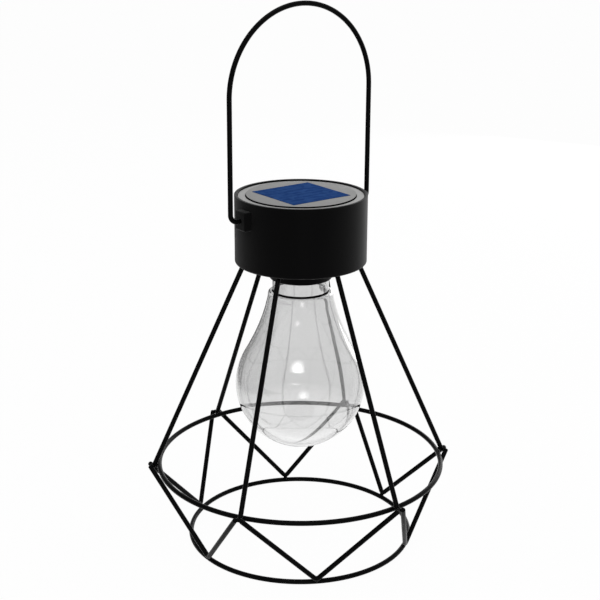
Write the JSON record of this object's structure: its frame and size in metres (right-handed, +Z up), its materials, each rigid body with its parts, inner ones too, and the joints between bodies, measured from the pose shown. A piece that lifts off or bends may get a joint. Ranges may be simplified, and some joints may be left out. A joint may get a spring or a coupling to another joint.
{
  "type": "solar garden light",
  "caption": "Wire-cage solar lantern with a flared geometric cage, a black drum with a solar cell on top, a clear bulb below it and a free-swinging wire bail.",
  "frame": {"origin": "on the lantern's axis, at the plane that the base ring stands on", "axes": "+Z up along the lantern's axis; X along the bail's pivot axis; the solar cell's edges run along X and Y"},
  "size_m": [0.1812, 0.1932, 0.3356],
  "materials": {
    "black_wire": "satin black paint on steel wire",
    "black_plastic": "satin moulded",
    "grey_plastic": "fine matt moulded",
    "dark_plastic": "matt moulded",
    "solar_blue": "laminated blue cell with pale collector lines",
    "clear_bulb": "clear, thin-walled",
    "seal": "foam rubber",
    "steel": "plated",
    "board": "laminate with solder mask",
    "choke": "dipped coating",
    "led_epoxy": "clear epoxy",
    "battery": "shrink sleeve over a steel can",
    "lead_red": "insulated lead",
    "lead_black": "insulated lead"
  },
  "bodies": {
    "lantern": {"base_ring": "black_wire", "waist_ring": "black_wire", "cage_strut_1": "black_wire", "cage_strut_2": "black_wire", "cage_strut_3": "black_wire", "cage_strut_4": "black_wire", "cage_strut_5": "black_wire", "cage_strut_6": "black_wire", "lower_v_wire_1": "black_wire", "lower_v_wire_2": "black_wire", "lower_v_wire_3": "black_wire", "lower_v_wire_4": "black_wire", "lower_v_wire_5": "black_wire", "lower_v_wire_6": "black_wire", "housing_drum": "black_plastic", "top_cover": "grey_plastic", "solar_cell": "solar_blue", "cover_seal": "seal", "unit_case": "dark_plastic", "unit_screw_1": "steel", "unit_screw_2": "steel", "unit_screw_3": "steel", "circuit_board": "board", "controller_chip": "dark_plastic", "choke_coil": "choke", "led": "led_epoxy", "battery_holder": "dark_plastic", "rechargeable_battery": "battery", "battery_plate": "steel", "battery_spring": "steel", "switch_body": "dark_plastic", "solar_lead_red": "lead_red", "solar_lead_black": "lead_black", "battery_lead_red": "lead_red", "battery_lead_black": "lead_black", "switch_lead_red": "lead_red", "switch_lead_black": "lead_black", "bulb_socket": "dark_plastic"},
    "bail": {"bail_handle": "black_wire"},
    "switch": {"switch_slider": "grey_plastic"},
    "bulb": {"bulb": "clear_bulb"}
  },
  "joints": [
    {"name": "bail_swing", "type": "hinge", "parent": "lantern", "child": "bail", "pos_m": [0, 0, 0.21245], "axis": [1, 0, 0], "range_deg": [-145.15, 144.85]},
    {"name": "switch_slide", "type": "slide", "parent": "lantern", "child": "switch", "axis": [1, 0, 0], "range_m": [0, 0.003]},
    {"name": "bulb_twist", "type": "hinge", "parent": "lantern", "child": "bulb", "pos_m": [0, 0, 0.16], "axis": [0, 0, 1], "range_deg": [0, 40]}
  ]
}
